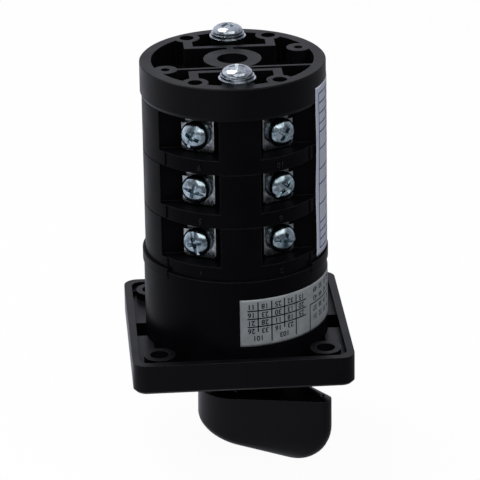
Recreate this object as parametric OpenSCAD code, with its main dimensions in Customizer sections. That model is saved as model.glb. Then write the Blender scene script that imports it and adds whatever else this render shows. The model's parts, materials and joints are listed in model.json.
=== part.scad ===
/* [Face plate] */
// Distance from the latch housing to the edge of the square plate
plate_margin = 5.25; // [4.25:0.25:9.25]
// Thickness of the plate at its edge
plate_t = 9; // [8:0.5:12]
// Radius of the plate's corners
plate_corner_r = 4; // [3:0.5:6]
// Thickness of the rim wall round the plate
plate_wall = 2.2; // [1.6:0.1:2.6]
// Thickness of the plate's front face
plate_face = 2.2; // [1.8:0.1:3]
// Distance of the fixing holes from the plate's edges
fixing_inset = 8; // [6.5:0.1:9]
// Diameter of the fixing holes
fixing_d = 5.5; // [4:0.1:6]
// Depth of the side ledges below the rim
ledge_drop = 2.5; // [1.5:0.1:4]
// Width of the slot between the two ledges of a side
ledge_slot = 9.3; // [6:0.1:14]

/* [Latch housing] */
// Step from the contact stages out to the latch housing
latch_step = 0.5; // [0.2:0.05:0.9]
// Height of the latch housing, from the plate's face to the first stage
latch_h = 29.3; // [26:0.1:34]
// Thickness of the latch housing's wall
latch_wall = 3; // [2.4:0.1:3.6]
// Height of the collar lips that reach over the first stage
collar_h = 3.1; // [2:0.1:5]

/* [Contact stages] */
// Radius of a contact stage
stage_r = 26.25; // [24:0.05:30]
// Height of a contact stage
stage_h = 16.2; // [14.6:0.1:20]
// Height of the ledge under the wire pockets
pocket_floor = 4.2; // [3.4:0.1:4.6]
// Wall left at the outer corner of a wire pocket
pocket_skin = 0.9; // [0.8:0.05:2]
// Gap between a clamp plate and the pillar beside it
pillar_gap = 0.9; // [0.5:0.05:1.4]

/* [Terminals] */
// Angle at which a terminal screw leans out from the middle of its side
terminal_angle = 26; // [24:0.5:28]
// Distance of a terminal screw below the middle of its pocket
terminal_drop = 0.4; // [0:0.05:0.6]
// Radius of a terminal screw's head
screw_head_r = 4.2; // [3.4:0.1:4.2]
// Height of a terminal screw's head
screw_head_h = 3.2; // [2.4:0.1:3.4]
// Width of a clamp plate
clamp_w = 9.5; // [8.6:0.1:9.6]
// Gap between a clamp plate and the floor of its pocket
clamp_low_gap = 0.3; // [0.2:0.1:1.2]
// Gap between a clamp plate and the stage above
clamp_high_gap = 3.5; // [2:0.1:3.8]
// Thickness of a clamp plate
clamp_t = 1.2; // [0.8:0.1:1.4]

/* [Rear cap] */
// Step from the contact stages out to the rear cap
cap_out = 0.45; // [0.2:0.05:0.8]
// Height of the rear cap
cap_h = 9.8; // [8:0.1:12]
// Thickness of the cap's ring wall
cap_wall = 3.35; // [2.6:0.05:3.8]
// Radius of the cap's hub
cap_hub_r = 8.3; // [7:0.1:9]
// Diameter of the four corner holes in the cap
cap_hole_d = 4.2; // [3:0.1:4.6]

/* [Handle] */
// Radius of the handle's round end, about the shaft
knob_r = 11.8; // [11.4:0.1:13]
// Distance from the shaft to the centre of the handle's tip
knob_reach = 27.6; // [24:0.2:30]
// Radius of the handle's tip, seen from the front
knob_tip_r = 2.8; // [2.6:0.05:4.5]
// Distance from the plate's face to the handle's open edge
knob_gap = 12.1; // [9:0.1:14]
// Depth of the handle at its round end
knob_short = 10.9; // [9.4:0.1:12]
// Depth of the handle at its tip
knob_deep = 21.1; // [19:0.1:23]
// Wall of the handle's shell
knob_wall = 2; // [1.6:0.1:2.4]
// Direction in which the handle points, as photographed
knob_angle = -30; // [-90:5:0]

/* [Switching] */
// Angle from one end position to the other
switch_angle = 120; // [90:5:120]
// Radius of a cam where its contact is closed
cam_low = 7.5; // [7.2:0.1:7.8]
// Lift of a cam
cam_lift = 2.6; // [2:0.1:2.8]
// Side of the square spindle
spindle_w = 7; // [6:0.1:7.2]

/* [Hidden] */
$fn = 48;

// Colours, as photographed
black_plastic = [0.09, 0.09, 0.10];
dark_plastic = [0.14, 0.14, 0.16];
zinc = [0.72, 0.76, 0.78];
steel = [0.60, 0.61, 0.63];
copper = [0.78, 0.52, 0.30];
red_plastic = [0.55, 0.14, 0.10];
white_nylon = [0.86, 0.85, 0.80];
label_silver = [0.74, 0.76, 0.79];
label_white = [0.90, 0.93, 0.96];

// Clearances
cut = 1;
fit = 0.05;
bolt_play = 0.2;
running = 0.05;
slide_gap = 0.1;
seat_gap = 0.3;
cam_gap = 0.15;
label_gap = 0.05;

// Levels along the shaft, from the plate's rim, which is zero
stages = 3;
z_face = -plate_t;
z_seat = z_face + plate_face;
z_stage = z_seat + latch_h;
z_cap = z_stage + stages * stage_h;
z_top = z_cap + cap_h;
z_knob = z_face - knob_gap;

// Widths that follow the contact stages
latch_r = stage_r + latch_step;
cap_r = stage_r + cap_out;
plate_w = 2 * (latch_r + plate_margin);
fixing_spacing = plate_w - 2 * fixing_inset;

// Plate details
edge_soft = 0.8;
plate_inner = plate_w / 2 - plate_wall;
fixing_boss_r = 4.5;
ledge_w = 4.8;
gusset = 2.4;
guard_r = 12;
guard_wall = 1.8;
guard_h = 1.6;
skin = 0.1;

// Tie bolts through the whole stack
tie_inset = 7.75;
tie_y = stage_r - tie_inset;
tie_r = 2;
tie_boss_r = 4.5;
tie_head_r = 4.4;
tie_head_h = 2.6;
tie_rim_h = 0.5;
tie_flat_r = 5.3;
tie_flat_t = 0.8;
tie_spring_r = 4.8;
tie_spring_t = 0.9;
tie_grip = 12;
tie_turns = [65, 25];
tie_slit_turn = 100;

// Plate screws, countersunk into the plate's face
plate_screw_share = 0.5047;
plate_screw_xy = plate_screw_share * latch_r;
plate_screw_r = 1.5;
plate_screw_head_r = 3;
plate_screw_l = 9;
plate_boss_r = 3.6;
plate_cone_h = plate_screw_head_r - plate_screw_r;

// Latch housing inside
latch_floor = 3.2;
spindle_corner_r = spindle_w * sqrt(2) / 2;
journal_wall = 0.55;
journal_r = spindle_corner_r + journal_wall;
collar_rise = 1;
collar_step = 0.35;
collar_half_angle = 39;
guide_half = 3.7;
guide_wall = 2;

// Stage details
zone_step = 0.35;
zone_inset = 5.45;
zone_half = stage_r - zone_inset;
edge_line = 0.3;
stage_floor = 2.2;
well_gap = 0.9;
well_r = cam_low + cam_lift + well_gap;
hub_wall = 1.55;
cam_hub_r = spindle_corner_r + hub_wall;
hub_gap = 0.3;

// Terminal stack, out along the screw
terminal_rise = (pocket_floor + stage_h) / 2 - terminal_drop;
terminal_shift = 2.95;
seat_inset = 8.45;
seat_r = stage_r - seat_inset;
strip_t = 1.2;
strip_margin = 1.5;
strip_h = stage_h - pocket_floor - 2 * strip_margin;
tab_t = 0.45;
strip_back = clamp_w / 2 + slide_gap + tab_t;
strip_front = 4;
clamp_corner = 0.8;
tab_out = 1.6;
lock_r = 3.9;
lock_hole_r = 2.15;
lock_t = 1;
lock_slit = 0.6;
screw_r = 2;
screw_rim_h = 0.8;
recess_l = 4.4;
recess_w = 0.9;
recess_deep = 1.5;
slot_deep = 0.8;
slit_turn = 30;
washer_r = seat_r + strip_t + clamp_t;
head_r = washer_r + lock_t;
screw_end_gap = 2.5;
screw_l = head_r - cam_low - cam_lift - screw_end_gap;

// Wire pockets, seen along the shaft
pocket_play = 0.6;
strip_end = (terminal_shift + strip_front) * sin(terminal_angle);
pocket_back = seat_r * cos(terminal_angle) - strip_end - pocket_play;
pocket_reach = sqrt(pow(stage_r - pocket_skin, 2) - pow(pocket_back, 2));
clamp_end = (clamp_w / 2 - terminal_shift) * cos(terminal_angle);
pillar_half = (seat_r + strip_t) * sin(terminal_angle) - clamp_end - pillar_gap;

// Contact mechanism across the switch
chamber_share = 0.842;
chamber_half = chamber_share * pocket_back;
bridge_play = 0.8;
bridge_half = chamber_half - bridge_play;
tip_r = 1.9;
tip_inset = 1.4;
tip_y = bridge_half - tip_inset;
leg_lap = 1.3;
leg_start = pocket_back + leg_lap;
leg_end = tip_y - tip_r + skin;
plunger_share = 0.62;
plunger_half = plunger_share * leg_end;
nose_share = 0.625;
nose_r = nose_share * plunger_half;
rib_share = 0.7;
rib_t = rib_share * (leg_end - plunger_half - slide_gap);

// Contact mechanism outwards from the cam
strip_lap = 0.77;
strip_reach = (terminal_shift + strip_front) * cos(terminal_angle);
strip_x = seat_r * sin(terminal_angle) + strip_reach - strip_lap;
chamber_wall = 2.05;
chamber_r = stage_r - chamber_wall;
chamber_x = strip_x - seat_gap;
tip_t = 0.5;
contact_gap = 0.1;
pad_t = 0.55;
rib_x = strip_x + strip_t + tip_t;
bridge_x = rib_x + contact_gap + pad_t;
bridge_t = 1.2;
nose_out = 1.4;
stud_r = 1.4;
stud_l = 3;

// Contact mechanism, heights about the middle of the cam
cam_base = 4.4;
cam_t = 8;
cam_mid = cam_base + cam_t / 2;
plunger_h = 7.6;
bridge_h = 6;
leg_h = 6;
spring_wire_r = 0.35;
spring_turns = 5;
spring_sides = 5;
spring_steps = 10;

// Index mechanism in the latch housing
wheel_crest = 9.5;
wheel_notch = 8.6;
wheel_clicks = 6;
wheel_t = 8;
lug_z = 14;
lug_t = 4;
lug_inset = 3.5;
lug_r = tie_y - lug_inset;
stop_margin_angle = 1;
roller_r = 2;
roller_h = 7;
pawl_l = 6;
index_coil_r = 2.4;

// Shaft
shaft_back_r = 4.35;
shaft_end_drop = 3.6;
shaft_tap_l = 12;

// Handle details
knob_tip_soft_r = 12.6;
knob_run = knob_reach + knob_tip_r - knob_tip_soft_r + knob_r;
knob_slope = (knob_deep - knob_short) / knob_run;
knob_mid = knob_short + knob_slope * knob_r;
knob_hub_r = 8.2;
knob_hub_gap = 1.6;
knob_soft_r = 3.2;
knob_web_t = 1.6;
knob_bore_r = 4.3;
knob_web_drop = 2;
knob_screw_head_r = 3.8;
knob_screw_head_h = 2.2;
knob_screw_l = 10;
knob_screw_turn = 45;
knob_seat_t = 2;
knob_rim = 0.6;

// Cap details
cap_step = 1;
cap_floor = 2.2;
cap_bore_r = shaft_back_r + running;
cap_corner_x_share = 0.4457;
cap_corner_x = cap_corner_x_share * cap_r;
cap_corner_y_share = 0.7303;
cap_corner_y = cap_corner_y_share * cap_r;
cap_corner_boss_r = 3.75;
cap_rib_y = 9.8;
cap_rib_t = 1.7;
cap_rib_half = 13.2;
cap_neck_w = 2.6;
cap_post_x_share = 0.734;
cap_post_x = cap_post_x_share * cap_r;
cap_post_y_share = 0.2884;
cap_post_y = cap_post_y_share * cap_r;
cap_post_r = 3.4;
cap_post_hole_r = 1.3;
cap_web_t = 1;

// Labels
rating_low_share = 0.3174;
rating_low = rating_low_share * latch_h;
rating_h_share = 0.4949;
rating_h = rating_h_share * latch_h;
rating_from = -91.8;
rating_sweep = 97;
label_t = 0.15;
side_low = 2;
side_h = stages * stage_h + cap_h / 2 - side_low;
side_from = -33;
side_sweep = 68;

// Turn of each terminal screw's recess, stage by stage
screw_turns = [[20, 65, 5, 40], [75, 30, 50, 10], [35, 80, 15, 60]];

function stage_z(level) = z_stage + (level - 1) * stage_h;

function cam_radius(a) =
    a < switch_angle ? cam_low + cam_lift * a / switch_angle :
    a < 180 ? cam_low + cam_lift :
    a < 180 + switch_angle ? cam_low + cam_lift * (1 - (a - 180) / switch_angle) : cam_low;

function wheel_radius(a) = wheel_notch + (wheel_crest - wheel_notch) * (1 - cos(wheel_clicks * a)) / 2;

module rounded_square(w, r) {
    square([w, w - 2 * r], center = true);
    square([w - 2 * r, w], center = true);
    for (x = [-1, 1], y = [-1, 1])
        translate([x * (w / 2 - r), y * (w / 2 - r)])
            circle(r = r);
}

module box(x, y, z) {
    translate([x[0], y[0], z[0]])
        cube([x[1] - x[0], y[1] - y[0], z[1] - z[0]]);
}

module quadrants() {
    for (mx = [0, 1], my = [0, 1])
        mirror([mx, 0, 0])
            mirror([0, my, 0])
                children();
}

module at_tie_bolts() {
    for (side = [-1, 1])
        translate([0, side * tie_y, 0])
            children();
}

// Local X runs out along the terminal screw and local Y towards the side of the switch
module at_terminal(level) {
    translate([0, 0, stage_z(level) + terminal_rise])
        rotate([0, 0, terminal_angle - 90])
            translate([0, terminal_shift, 0])
                children();
}

// A domed screw with its head's seat at zero and its shank below
module screw(r, l, head_r, head_h, rim_h, turn, slotted) {
    difference() {
        union() {
            translate([0, 0, -l])
                cylinder(r = r, h = l + skin);
            rotate_extrude()
                polygon(concat([[0, 0], [head_r, 0]],
                    [for (a = [0:15:90]) [head_r * cos(a), rim_h + (head_h - rim_h) * sin(a)]]));
        }
        rotate([0, 0, turn])
            translate([0, 0, head_h - recess_deep]) {
                box([-recess_l / 2, recess_l / 2], [-recess_w / 2, recess_w / 2], [0, recess_deep + cut]);
                box([-recess_w / 2, recess_w / 2], [-recess_l / 2, recess_l / 2], [0, recess_deep + cut]);
            }
        if (slotted)
            rotate([0, 0, turn])
                box([-head_r - cut, head_r + cut], [-recess_w / 2, recess_w / 2],
                    [head_h - slot_deep, head_h + cut]);
    }
}

module split_washer(r, hole_r, t, slit, turn) {
    rotate([0, 0, turn])
        difference() {
            cylinder(r = r, h = t);
            translate([0, 0, -cut])
                cylinder(r = hole_r, h = t + 2 * cut);
            box([0, r + cut], [-slit / 2, slit / 2], [-cut, t + cut]);
        }
}

// A compression spring along Z, of one wire with its first and last rings square to the axis
module coil(coil_r, wire_r, l, turns) {
    steps = turns * spring_steps;
    rise = (l - 2 * wire_r) / steps;
    points = [for (i = [0:steps], j = [0:spring_sides - 1])
        let (a = 360 * i / spring_steps, b = 360 * j / spring_sides)
        [(coil_r + wire_r * cos(b)) * cos(a), (coil_r + wire_r * cos(b)) * sin(a),
            wire_r + rise * i + wire_r * sin(b)]];
    sides = [for (i = [0:steps - 1], j = [0:spring_sides - 1], half = [0, 1])
        let (k = (j + 1) % spring_sides, a = i * spring_sides, b = a + spring_sides)
        half == 0 ? [a + j, b + j, b + k] : [a + j, b + k, a + k]];
    ends = [[for (j = [0:spring_sides - 1]) j],
        [for (j = [spring_sides - 1:-1:0]) steps * spring_sides + j]];
    polyhedron(points = points, faces = concat(sides, ends));
}

module rear_cap() {
    rib_out = cap_rib_y + cap_rib_t;
    web_x = sqrt(pow(cap_r - cap_wall, 2) - pow(cap_post_y, 2)) + cap_wall / 2;
    color(dark_plastic)
        difference() {
            translate([0, 0, z_cap]) {
                cylinder(r1 = stage_r, r2 = cap_r, h = cap_step);
                translate([0, 0, cap_step])
                    cylinder(r = cap_r, h = cap_h - cap_step - edge_line);
                translate([0, 0, cap_h - edge_line])
                    cylinder(r1 = cap_r, r2 = cap_r - edge_line, h = edge_line);
            }
            difference() {
                translate([0, 0, z_cap + cap_floor])
                    cylinder(r = cap_r - cap_wall, h = cap_h);
                translate([0, 0, z_cap]) {
                    cylinder(r = cap_hub_r, h = cap_h);
                    at_tie_bolts()
                        cylinder(r = tie_boss_r, h = cap_h);
                    for (s = [-1, 1])
                        translate([0, s * (tie_y + tie_boss_r / 2), 0])
                            box([-tie_boss_r, tie_boss_r], [-tie_boss_r, tie_boss_r], [0, cap_h]);
                    quadrants() {
                        translate([cap_corner_x, -cap_corner_y, 0])
                            cylinder(r = cap_corner_boss_r, h = cap_h);
                        box([0, cap_rib_half], [-rib_out, -cap_rib_y], [0, cap_h]);
                        box([cap_rib_half - cap_neck_w, cap_rib_half], [-cap_corner_y, -cap_rib_y], [0, cap_h]);
                    }
                    for (s = [0, 180])
                        rotate([0, 0, s])
                            translate([-cap_post_x, -cap_post_y, 0])
                                cylinder(r = cap_post_r, h = cap_h);
                    translate([0, -cap_post_y, 0])
                        box([-cap_post_x, web_x], [-cap_web_t / 2, cap_web_t / 2], [0, cap_h]);
                    box([-cap_rib_t / 2, cap_rib_t / 2], [-rib_out, rib_out], [0, cap_h]);
                }
            }
            translate([0, 0, z_cap - cut])
                cylinder(r = cap_bore_r, h = cap_h + 2 * cut);
            translate([0, 0, z_cap - cut])
                cylinder(r = cam_hub_r + hub_gap, h = cut + seat_gap);
            translate([0, 0, z_cap - cut])
                at_tie_bolts()
                    cylinder(r = tie_r + bolt_play, h = cap_h + 2 * cut);
            translate([0, 0, z_cap + cap_floor])
                quadrants()
                    translate([cap_corner_x, -cap_corner_y, 0])
                        cylinder(d = cap_hole_d, h = cap_h);
            translate([0, 0, z_cap + cap_floor])
                for (s = [0, 180])
                    rotate([0, 0, s])
                        translate([-cap_post_x, -cap_post_y, 0])
                            cylinder(r = cap_post_hole_r, h = cap_h);
        }
}

// The room that a wire pocket, its screw and its strip take from one quarter of a stage
module pocket_cut() {
    intersection() {
        box([pillar_half, pocket_reach], [-stage_r - cut, -pocket_back], [pocket_floor, stage_h + cut]);
        rotate([0, 0, terminal_angle - 90])
            box([seat_r, 2 * stage_r], [-stage_r, stage_r], [pocket_floor, stage_h + cut]);
    }
    box([strip_x - strip_t, strip_x + strip_t + 2 * slide_gap],
        [-leg_start - slide_gap, -chamber_half + skin],
        [cam_mid - leg_h / 2 - slide_gap, stage_h + cut]);
    rotate([0, 0, terminal_angle - 90])
        translate([0, terminal_shift, terminal_rise]) {
            translate([head_r - screw_l - seat_gap, 0, 0])
                rotate([0, 90, 0])
                    cylinder(r = screw_r + bolt_play, h = screw_l);
            box([seat_r, seat_r + strip_t + seat_gap], [-strip_back - slide_gap, 0],
                [-strip_h / 2 - slide_gap, stage_h]);
        }
}

// The chamber for one moving contact, on the right side of a stage
module chamber_cut() {
    guide_half_w = plunger_half + slide_gap;
    difference() {
        intersection() {
            translate([0, 0, stage_floor])
                cylinder(r = chamber_r, h = stage_h);
            box([chamber_x, stage_r], [-chamber_half, chamber_half], [stage_floor, stage_h + cut]);
        }
        box([chamber_x - cut, rib_x], [-guide_half_w - rib_t, guide_half_w + rib_t],
            [0, cam_base + cam_t]);
    }
    box([0, rib_x + skin], [-guide_half_w, guide_half_w],
        [cam_mid - plunger_h / 2 - slide_gap, stage_h + cut]);
}

module stage_housing(level) {
    color(black_plastic)
        translate([0, 0, stage_z(level)])
            difference() {
                union() {
                    cylinder(r1 = stage_r - edge_line, r2 = stage_r, h = edge_line);
                    translate([0, 0, edge_line])
                        cylinder(r = stage_r, h = stage_h - 2 * edge_line);
                    translate([0, 0, stage_h - edge_line])
                        cylinder(r1 = stage_r, r2 = stage_r - edge_line, h = edge_line);
                }
                for (s = [0, 180])
                    rotate([0, 0, s]) {
                        chamber_cut();
                        difference() {
                            box([-zone_half, zone_half], [-stage_r - cut, 0], [-cut, stage_h + cut]);
                            translate([0, 0, -2 * cut])
                                cylinder(r = stage_r - zone_step, h = stage_h + 4 * cut);
                        }
                    }
                translate([0, 0, stage_floor])
                    cylinder(r = well_r, h = stage_h);
                translate([0, 0, -cut])
                    cylinder(r = cam_hub_r + hub_gap, h = stage_h);
                translate([0, 0, -cut])
                    at_tie_bolts()
                        cylinder(r = tie_r + bolt_play, h = stage_h + 2 * cut);
                quadrants()
                    pocket_cut();
            }
}

module stage_housing_1() stage_housing(1);
module stage_housing_2() stage_housing(2);
module stage_housing_3() stage_housing(3);

module latch_housing() {
    inner_r = latch_r - latch_wall;
    lip_low = z_stage + collar_rise - collar_h;
    color(black_plastic)
        difference() {
            union() {
                difference() {
                    translate([0, 0, z_seat])
                        cylinder(r = latch_r, h = latch_h);
                    translate([0, 0, z_seat + latch_floor])
                        cylinder(r = inner_r, h = latch_h);
                }
                for (s = [0, 180])
                    rotate([0, 0, s - collar_half_angle])
                        rotate_extrude(angle = 2 * collar_half_angle, $fn = 96)
                            polygon([[latch_r - skin, lip_low], [latch_r + collar_step, lip_low],
                                [latch_r + collar_step, z_stage + collar_rise],
                                [stage_r + skin, z_stage + collar_rise], [stage_r + skin, z_stage - skin],
                                [latch_r - skin, z_stage - skin]]);
                translate([0, 0, z_seat]) {
                    at_tie_bolts()
                        cylinder(r = tie_boss_r, h = latch_h);
                    for (s = [-1, 1])
                        box([-tie_boss_r, tie_boss_r],
                            [s * (tie_y + inner_r) / 2 - (inner_r - tie_y) / 2 - skin,
                            s * (tie_y + inner_r) / 2 + (inner_r - tie_y) / 2 + skin], [0, latch_h]);
                    quadrants() {
                        translate([plate_screw_xy, -plate_screw_xy, 0])
                            cylinder(r = plate_boss_r, h = plate_screw_l);
                        box([wheel_crest + 2 * roller_r, inner_r], [-guide_half - guide_wall, -guide_half],
                            [latch_floor - skin, latch_floor + wheel_t + seat_gap]);
                    }
                }
            }
            translate([0, 0, z_seat - cut])
                cylinder(r = journal_r + running, h = latch_floor + 2 * cut);
            translate([0, 0, z_stage - tie_grip])
                at_tie_bolts()
                    cylinder(r = tie_r + fit, h = tie_grip + cut);
            translate([0, 0, z_seat - cut])
                quadrants()
                    translate([plate_screw_xy, -plate_screw_xy, 0])
                        cylinder(r = plate_screw_r + fit, h = plate_screw_l - plate_face + cut + seat_gap);
        }
}

module face_plate() {
    color(black_plastic)
        difference() {
            union() {
                difference() {
                    union() {
                        translate([0, 0, z_face + edge_soft])
                            linear_extrude(plate_t - edge_soft)
                                rounded_square(plate_w, plate_corner_r);
                        hull() {
                            translate([0, 0, z_face + edge_soft])
                                linear_extrude(skin)
                                    rounded_square(plate_w, plate_corner_r);
                            translate([0, 0, z_face])
                                linear_extrude(skin)
                                    rounded_square(plate_w - 2 * edge_soft, plate_corner_r - edge_soft);
                        }
                    }
                    translate([0, 0, z_seat])
                        linear_extrude(plate_t)
                            rounded_square(plate_w - 2 * plate_wall, plate_corner_r - plate_wall / 2);
                }
                quadrants() {
                    difference() {
                        box([plate_inner - ledge_w, plate_inner + skin], [-plate_inner - skin, -ledge_slot / 2],
                            [z_seat - skin, -ledge_drop]);
                        translate([0, 0, z_seat - cut])
                            cylinder(r = latch_r + seat_gap, h = plate_t + cut);
                    }
                    translate([fixing_spacing / 2, -fixing_spacing / 2, z_seat - skin])
                        cylinder(r = fixing_boss_r, h = -z_seat + skin);
                    translate([plate_inner + skin, -plate_inner - skin, z_seat - skin])
                        linear_extrude(-z_seat - gusset / 2)
                            polygon([[0, 0], [-gusset * 2, 0], [0, gusset * 2]]);
                }
                translate([0, 0, z_face - guard_h])
                    cylinder(r = guard_r, h = guard_h + skin);
            }
            translate([0, 0, z_face - guard_h - cut])
                cylinder(r = guard_r - guard_wall, h = guard_h + cut);
            translate([0, 0, z_face - cut])
                cylinder(r = journal_r + seat_gap, h = plate_t);
            translate([0, 0, z_face - cut])
                quadrants() {
                    translate([fixing_spacing / 2, -fixing_spacing / 2, 0])
                        cylinder(d = fixing_d, h = plate_t + 2 * cut);
                    translate([plate_screw_xy, -plate_screw_xy, 0])
                        cylinder(r = plate_screw_r + bolt_play, h = plate_t);
                    translate([plate_screw_xy, -plate_screw_xy, 0])
                        cylinder(r = plate_screw_head_r + fit, h = cut);
                    translate([plate_screw_xy, -plate_screw_xy, cut - skin])
                        cylinder(r1 = plate_screw_head_r + fit + skin, r2 = plate_screw_r + fit,
                            h = plate_cone_h + skin);
                }
        }
}

module plate_screws() {
    color(steel)
        translate([0, 0, z_face + fit])
            quadrants()
                translate([plate_screw_xy, -plate_screw_xy, 0])
                    difference() {
                        union() {
                            cylinder(r = plate_screw_r, h = plate_screw_l);
                            cylinder(r1 = plate_screw_head_r, r2 = plate_screw_r, h = plate_cone_h);
                        }
                        for (turn = [0, 90])
                            rotate([0, 0, turn])
                                box([-plate_screw_r, plate_screw_r], [-recess_w / 4, recess_w / 4],
                                    [-cut, plate_cone_h / 2]);
                    }
}

// The handle's solid, drawn in by inset, with its long axis along X and its open edge at zero
module knob_form(inset, open) {
    r = knob_r - inset;
    tip_r = knob_tip_r - inset;
    soft_r = knob_soft_r - inset / 2;
    wheel_r = knob_tip_soft_r - inset;
    tilt = atan(knob_slope);
    hull() {
        translate([0, 0, -knob_rim])
            cylinder(r = r, h = knob_rim + open, $fn = 64);
        translate([knob_reach, 0, -knob_rim])
            cylinder(r = tip_r, h = knob_rim + open, $fn = 32);
        translate([0, 0, -knob_mid + (inset + soft_r) / cos(tilt)])
            rotate([0, tilt, 0])
                scale([1 / cos(tilt), 1, 1])
                    rotate_extrude($fn = 64)
                        translate([r - soft_r, 0])
                            circle(r = soft_r, $fn = 20);
        translate([knob_reach + knob_tip_r - knob_tip_soft_r, 0, knob_tip_soft_r - knob_deep])
            rotate([90, 0, 0])
                rotate_extrude($fn = 48)
                    translate([wheel_r - tip_r, 0])
                        circle(r = tip_r, $fn = 20);
    }
}

module knob() {
    knob_inner_r = knob_r - knob_wall;
    socket_w = spindle_w + 2 * slide_gap;
    hub_top = knob_gap - knob_hub_gap;
    socket_low = -knob_mid + knob_seat_t + knob_screw_head_h + knob_rim;
    color(black_plastic)
        translate([0, 0, z_knob])
            rotate([0, 0, knob_angle])
                difference() {
                    union() {
                        difference() {
                            knob_form(0, 0);
                            knob_form(knob_wall, cut);
                        }
                        intersection() {
                            union() {
                                translate([0, 0, -knob_deep])
                                    cylinder(r = knob_hub_r, h = knob_deep + hub_top);
                                box([-knob_inner_r, knob_reach], [-knob_web_t / 2, knob_web_t / 2],
                                    [-knob_deep, -knob_web_drop]);
                                box([-knob_web_t / 2, knob_web_t / 2], [-knob_inner_r, knob_inner_r],
                                    [-knob_deep, -knob_web_drop]);
                            }
                            union() {
                                knob_form(knob_wall / 2, 0);
                                cylinder(r = knob_hub_r, h = hub_top);
                            }
                        }
                    }
                    box([-socket_w / 2, socket_w / 2], [-socket_w / 2, socket_w / 2],
                        [socket_low, knob_gap]);
                    translate([0, 0, socket_low - knob_deep])
                        cylinder(r = screw_r + bolt_play, h = 2 * knob_deep);
                    translate([0, 0, socket_low - knob_seat_t - 2 * knob_deep])
                        cylinder(r = knob_bore_r, h = 2 * knob_deep);
                }
}

module knob_screw() {
    seat_z = z_knob - knob_mid + knob_screw_head_h + knob_rim;
    color(zinc)
        translate([0, 0, seat_z - fit])
            rotate([180, 0, knob_angle])
                screw(screw_r, knob_screw_l, knob_screw_head_r, knob_screw_head_h, tie_rim_h,
                    knob_screw_turn, false);
}

module shaft() {
    front_z = z_knob - knob_mid + knob_seat_t + knob_screw_head_h + knob_rim + seat_gap;
    back_z = z_top - shaft_end_drop;
    square_z = z_cap + slide_gap;
    color(steel)
        difference() {
            union() {
                rotate([0, 0, knob_angle])
                    box([-spindle_w / 2, spindle_w / 2], [-spindle_w / 2, spindle_w / 2],
                        [front_z, square_z]);
                translate([0, 0, z_face - seat_gap])
                    cylinder(r = journal_r, h = plate_face + latch_floor);
                translate([0, 0, z_cap])
                    cylinder(r = shaft_back_r, h = back_z - z_cap);
            }
            translate([0, 0, front_z - cut])
                cylinder(r = screw_r + fit, h = shaft_tap_l + cut);
        }
}

module tie_bolts() {
    seat = z_top + tie_flat_t + tie_spring_t;
    tie_l = seat - z_stage + tie_grip - seat_gap;
    color(zinc)
        for (i = [0, 1])
            translate([0, (2 * i - 1) * tie_y, seat])
                screw(tie_r, tie_l, tie_head_r, tie_head_h, tie_rim_h, tie_turns[i], false);
}

module tie_flat_washers() {
    color(zinc)
        translate([0, 0, z_top])
            at_tie_bolts()
                difference() {
                    cylinder(r = tie_flat_r, h = tie_flat_t);
                    translate([0, 0, -cut])
                        cylinder(r = tie_r + bolt_play, h = tie_flat_t + 2 * cut);
                }
}

module tie_spring_washers() {
    color(zinc)
        translate([0, 0, z_top + tie_flat_t])
            at_tie_bolts()
                split_washer(tie_spring_r, tie_r + bolt_play, tie_spring_t, lock_slit, tie_slit_turn);
}

module terminal_screws(level) {
    color(zinc)
        for (i = [0:3])
            mirror([i % 2, 0, 0])
                mirror([0, floor(i / 2), 0])
                    at_terminal(level)
                        translate([head_r, 0, 0])
                            rotate([0, 90, 0])
                                screw(screw_r, screw_l, screw_head_r, screw_head_h, screw_rim_h,
                                    screw_turns[level - 1][i], true);
}

module terminal_screws_1() terminal_screws(1);
module terminal_screws_2() terminal_screws(2);
module terminal_screws_3() terminal_screws(3);

module terminal_washers(level) {
    color(zinc)
        quadrants()
            at_terminal(level)
                translate([washer_r, 0, 0])
                    rotate([0, 90, 0])
                        split_washer(lock_r, lock_hole_r, lock_t, lock_slit, slit_turn);
}

module terminal_washers_1() terminal_washers(1);
module terminal_washers_2() terminal_washers(2);
module terminal_washers_3() terminal_washers(3);

module clamp_plates(level) {
    low = -clamp_w / 2;
    high = clamp_w / 2;
    bottom = pocket_floor + clamp_low_gap - terminal_rise;
    top = stage_h - clamp_high_gap - terminal_rise;
    c = clamp_corner;
    color(zinc)
        quadrants()
            at_terminal(level)
                difference() {
                    translate([seat_r + strip_t, 0, 0])
                        rotate([90, 0, 90])
                            linear_extrude(clamp_t)
                                polygon([[low, bottom], [high - c, bottom], [high, bottom + c], [high, top],
                                    [low + c, top], [low, top - c]]);
                    translate([seat_r, 0, 0])
                        rotate([0, 90, 0])
                            cylinder(r = screw_r + bolt_play, h = strip_t + clamp_t + cut);
                }
}

module clamp_plates_1() clamp_plates(1);
module clamp_plates_2() clamp_plates(2);
module clamp_plates_3() clamp_plates(3);

// Terminal strips: the screw's seat, then a leg into the chamber with its silver tip
module fixed_contacts(level) {
    leg_z = stage_z(level) + cam_mid;
    color(copper)
        quadrants() {
            difference() {
                union() {
                    at_terminal(level)
                        union() {
                            box([seat_r, seat_r + strip_t], [-strip_back, strip_front],
                                [-strip_h / 2, strip_h / 2]);
                            box([seat_r, seat_r + strip_t + tab_out], [-strip_back, tab_t - strip_back],
                                [-strip_h / 2, strip_h / 2]);
                        }
                    translate([0, 0, leg_z])
                        box([strip_x, strip_x + strip_t], [-leg_start, -leg_end], [-leg_h / 2, leg_h / 2]);
                }
                at_terminal(level)
                    translate([seat_r - cut, 0, 0])
                        rotate([0, 90, 0])
                            cylinder(r = screw_r + fit, h = strip_t + 2 * cut);
            }
            translate([strip_x + strip_t - skin, -tip_y, leg_z])
                rotate([0, 90, 0])
                    cylinder(r = tip_r, h = tip_t + skin);
        }
}

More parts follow.
